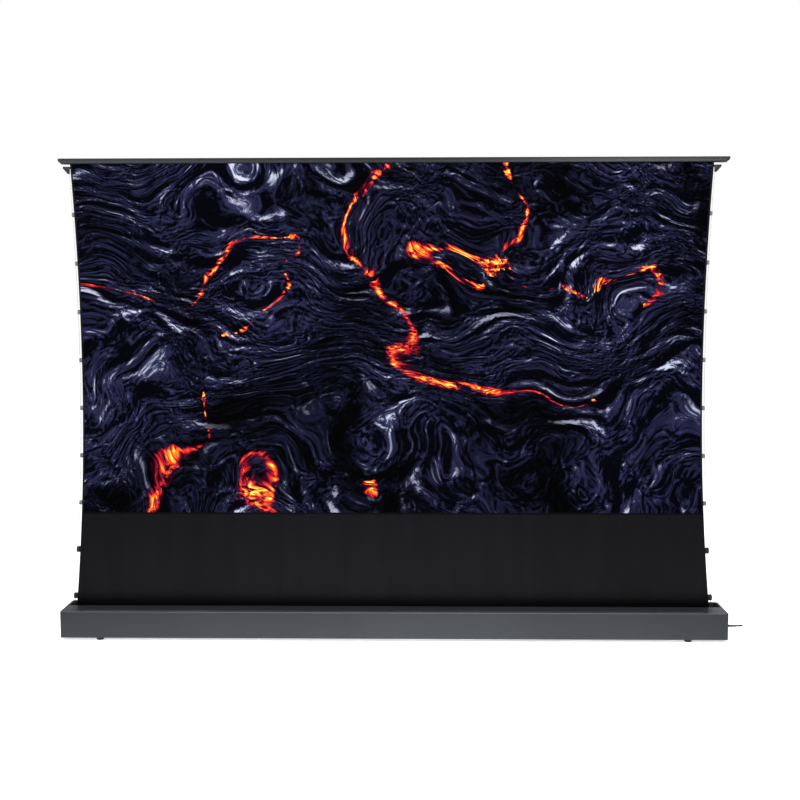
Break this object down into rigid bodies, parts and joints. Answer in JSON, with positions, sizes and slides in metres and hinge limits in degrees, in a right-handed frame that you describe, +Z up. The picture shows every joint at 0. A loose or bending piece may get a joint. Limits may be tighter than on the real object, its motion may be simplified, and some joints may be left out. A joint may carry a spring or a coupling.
{
  "type": "pull up projection screen",
  "caption": "Floor-standing projection screen: a long low case with a motor roller, fabric kept flat by side cords, and a lid lifted by geared elbow arms behind it.",
  "frame": {"origin": "on the floor, under the middle of the case", "axes": "+X along the case to the right of someone who looks at the picture, +Y to the back, +Z up; the screen is modelled raised"},
  "size_m": [2.4736, 0.2732, 1.7203],
  "materials": {
    "titanium": "satin anodised, titanium grey",
    "lid_grey": "satin anodised, dark grey",
    "steel": "zinc plated",
    "bare_aluminium": "mill finish",
    "black_plastic": "fine texture",
    "cable_rubber": "smooth",
    "foot_rubber": "matt",
    "screen_cloth": "matt, showing a picture",
    "black_cloth": "matt black",
    "braid": "pale braid"
  },
  "bodies": {
    "case": {"base_channel": "titanium", "front_panel": "titanium", "roller_cover": "titanium", "end_cap_left": "titanium", "end_cap_right": "titanium", "foot_front_left": "foot_rubber", "foot_front_right": "foot_rubber", "foot_rear_left": "foot_rubber", "foot_rear_right": "foot_rubber", "idler_bracket": "steel", "idler_pin": "steel", "motor_bracket": "steel", "tube_motor": "steel", "control_box": "black_plastic", "arm_base": "steel", "lower_pin_left": "steel", "lower_pin_right": "steel", "screen_fabric": "screen_cloth", "black_drop": "black_cloth", "tension_cord_left": "braid", "tension_cord_right": "braid", "cord_gland": "cable_rubber", "power_cord": "cable_rubber", "power_cord_coil": "cable_rubber", "plug_lead": "cable_rubber", "mains_plug": "black_plastic", "cord_tie": "black_plastic"},
    "roller": {"roller_tube": "bare_aluminium", "fabric_roll": "black_cloth", "limit_ring": "black_plastic", "drive_wheel": "black_plastic", "idler_plug": "black_plastic"},
    "lower_left": {"lower_gear_left": "bare_aluminium", "lower_arm_left": "bare_aluminium", "arm_spring_left": "steel", "lower_elbow_left": "bare_aluminium", "elbow_pin_left": "steel"},
    "upper_left": {"upper_gear_left": "bare_aluminium", "upper_arm_left": "bare_aluminium", "upper_elbow_left": "bare_aluminium"},
    "lower_right": {"lower_gear_right": "bare_aluminium", "lower_arm_right": "bare_aluminium", "arm_spring_right": "steel", "lower_elbow_right": "bare_aluminium", "elbow_pin_right": "steel"},
    "upper_right": {"upper_gear_right": "bare_aluminium", "upper_arm_right": "bare_aluminium", "upper_elbow_right": "bare_aluminium"},
    "top_bar": {"lid": "lid_grey", "lid_end_cap_left": "black_plastic", "lid_end_cap_right": "black_plastic", "top_batten": "bare_aluminium", "cord_bracket_left": "black_plastic", "cord_bracket_right": "black_plastic", "top_clevis": "steel", "top_pin_left": "steel", "top_pin_right": "steel"}
  },
  "joints": [
    {"name": "lower_left_pivot", "type": "hinge", "parent": "case", "child": "lower_left", "pos_m": [-0.0325, 0.032, 0.0523], "axis": [0, -1, 0], "range_deg": [0, 48.38], "deforming": ["screen_fabric", "black_drop", "tension_cord_left", "tension_cord_right"]},
    {"name": "lower_right_pivot", "type": "hinge", "parent": "case", "child": "lower_right", "pos_m": [0.0325, 0.032, 0.0523], "axis": [0, 1, 0], "range_deg": [0, 48.4]},
    {"name": "left_elbow", "type": "hinge", "parent": "lower_left", "child": "upper_left", "pos_m": [-0.74883, 0.045, 0.86055], "axis": [0, 1, 0], "range_deg": [0, 96.8], "stiffness_Nm_per_rad": 7.5, "springref_deg": -171.89},
    {"name": "right_elbow", "type": "hinge", "parent": "lower_right", "child": "upper_right", "pos_m": [0.74883, 0.045, 0.86055], "axis": [0, -1, 0], "range_deg": [0, 96.8], "stiffness_Nm_per_rad": 7.5, "springref_deg": -171.89},
    {"name": "top_pivot", "type": "hinge", "parent": "upper_left", "child": "top_bar", "pos_m": [-0.0325, 0.058, 1.6688], "axis": [0, -1, 0], "range_deg": [0, 48.4]},
    {"name": "roller_spin", "type": "hinge", "parent": "case", "child": "roller", "pos_m": [0, -0.0135, 0.045], "axis": [-1, 0, 0], "range_deg": [0, 3180]}
  ],
  "couplings": [
    {"joint": "lower_right_pivot", "follows": "lower_left_pivot", "ratio": 1},
    {"joint": "left_elbow", "follows": "lower_left_pivot", "ratio": 2},
    {"joint": "right_elbow", "follows": "lower_left_pivot", "ratio": 2},
    {"joint": "top_pivot", "follows": "lower_left_pivot", "ratio": 1},
    {"joint": "roller_spin", "follows": "lower_left_pivot", "ratio": 65.6}
  ]
}
